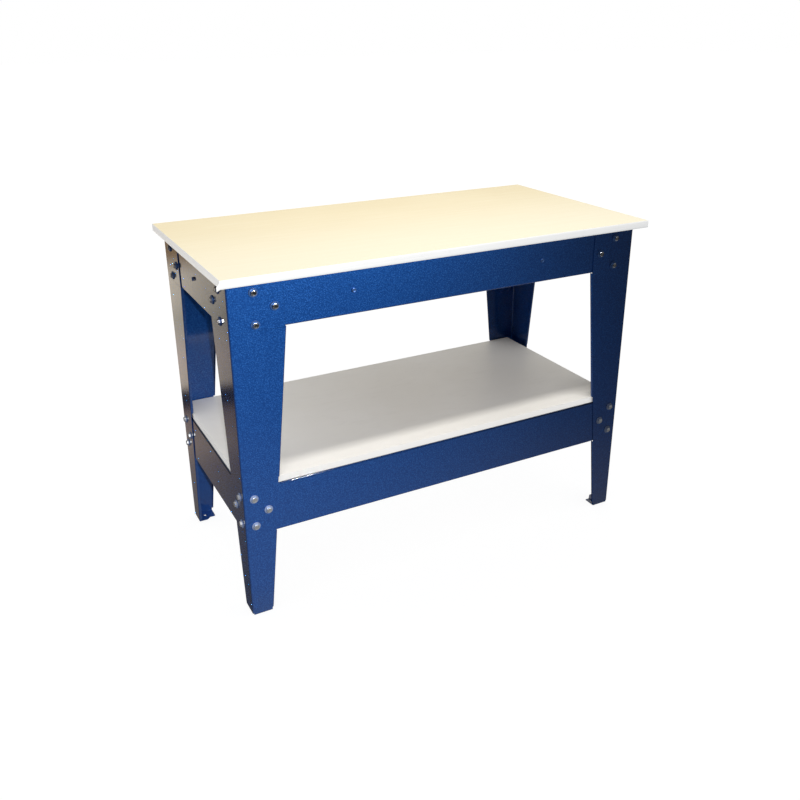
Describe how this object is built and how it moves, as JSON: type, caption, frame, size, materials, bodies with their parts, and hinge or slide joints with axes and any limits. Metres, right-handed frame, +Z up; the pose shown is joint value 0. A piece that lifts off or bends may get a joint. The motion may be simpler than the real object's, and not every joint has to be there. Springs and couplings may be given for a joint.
{
  "type": "router table",
  "caption": "Work table with a laminated board top, tapered folded-steel legs, bolted aprons and rails, and a full lower shelf.",
  "frame": {"origin": "centre of the table's footprint, at floor height", "axes": "+X along the length with the end seen in the picture at -X, +Y from the front to the back, +Z up"},
  "size_m": [1.219, 0.627, 0.914],
  "materials": {
    "blue_paint": "blue hammertone enamel, glossy",
    "zinc_fasteners": "bright zinc plate",
    "zinc_brackets": "zinc plate",
    "particleboard": "raw board, covered on the top and edges",
    "cream_laminate": "satin laminate",
    "white_edge_band": "satin",
    "grey_white_melamine": "satin melamine face and edges"
  },
  "bodies": {
    "root": {"apron_back": "blue_paint", "apron_front": "blue_paint", "apron_left": "blue_paint", "apron_right": "blue_paint", "bolts_back_left_back_lower": "zinc_fasteners", "bolts_back_left_back_upper": "zinc_fasteners", "bolts_back_left_end_lower": "zinc_fasteners", "bolts_back_left_end_upper": "zinc_fasteners", "bolts_back_right_back_lower": "zinc_fasteners", "bolts_back_right_back_upper": "zinc_fasteners", "bolts_back_right_end_lower": "zinc_fasteners", "bolts_back_right_end_upper": "zinc_fasteners", "bolts_front_left_end_lower": "zinc_fasteners", "bolts_front_left_end_upper": "zinc_fasteners", "bolts_front_left_front_lower": "zinc_fasteners", "bolts_front_left_front_upper": "zinc_fasteners", "bolts_front_right_end_lower": "zinc_fasteners", "bolts_front_right_end_upper": "zinc_fasteners", "bolts_front_right_front_lower": "zinc_fasteners", "bolts_front_right_front_upper": "zinc_fasteners", "bracket_back_left": "zinc_brackets", "bracket_back_right": "zinc_brackets", "bracket_bolt_back_left": "zinc_fasteners", "bracket_bolt_back_right": "zinc_fasteners", "bracket_bolt_front_left": "zinc_fasteners", "bracket_bolt_front_right": "zinc_fasteners", "bracket_bolt_left": "zinc_fasteners", "bracket_bolt_right": "zinc_fasteners", "bracket_front_left": "zinc_brackets", "bracket_front_right": "zinc_brackets", "bracket_left": "zinc_brackets", "bracket_right": "zinc_brackets", "edge_band_back": "white_edge_band", "edge_band_front": "white_edge_band", "edge_band_left": "white_edge_band", "edge_band_right": "white_edge_band", "leg_back_left": "blue_paint", "leg_back_right": "blue_paint", "leg_front_left": "blue_paint", "leg_front_right": "blue_paint", "rail_back": "blue_paint", "rail_front": "blue_paint", "rail_left": "blue_paint", "rail_right": "blue_paint", "shelf_board": "grey_white_melamine", "shelf_screw_left_back": "zinc_fasteners", "shelf_screw_left_front": "zinc_fasteners", "shelf_screw_right_back": "zinc_fasteners", "shelf_screw_right_front": "zinc_fasteners", "tabletop_core": "particleboard", "top_laminate": "cream_laminate", "top_screw_back_left": "zinc_fasteners", "top_screw_back_right": "zinc_fasteners", "top_screw_front_left": "zinc_fasteners", "top_screw_front_right": "zinc_fasteners", "top_screw_left": "zinc_fasteners", "top_screw_right": "zinc_fasteners"}
  },
  "joints": []
}
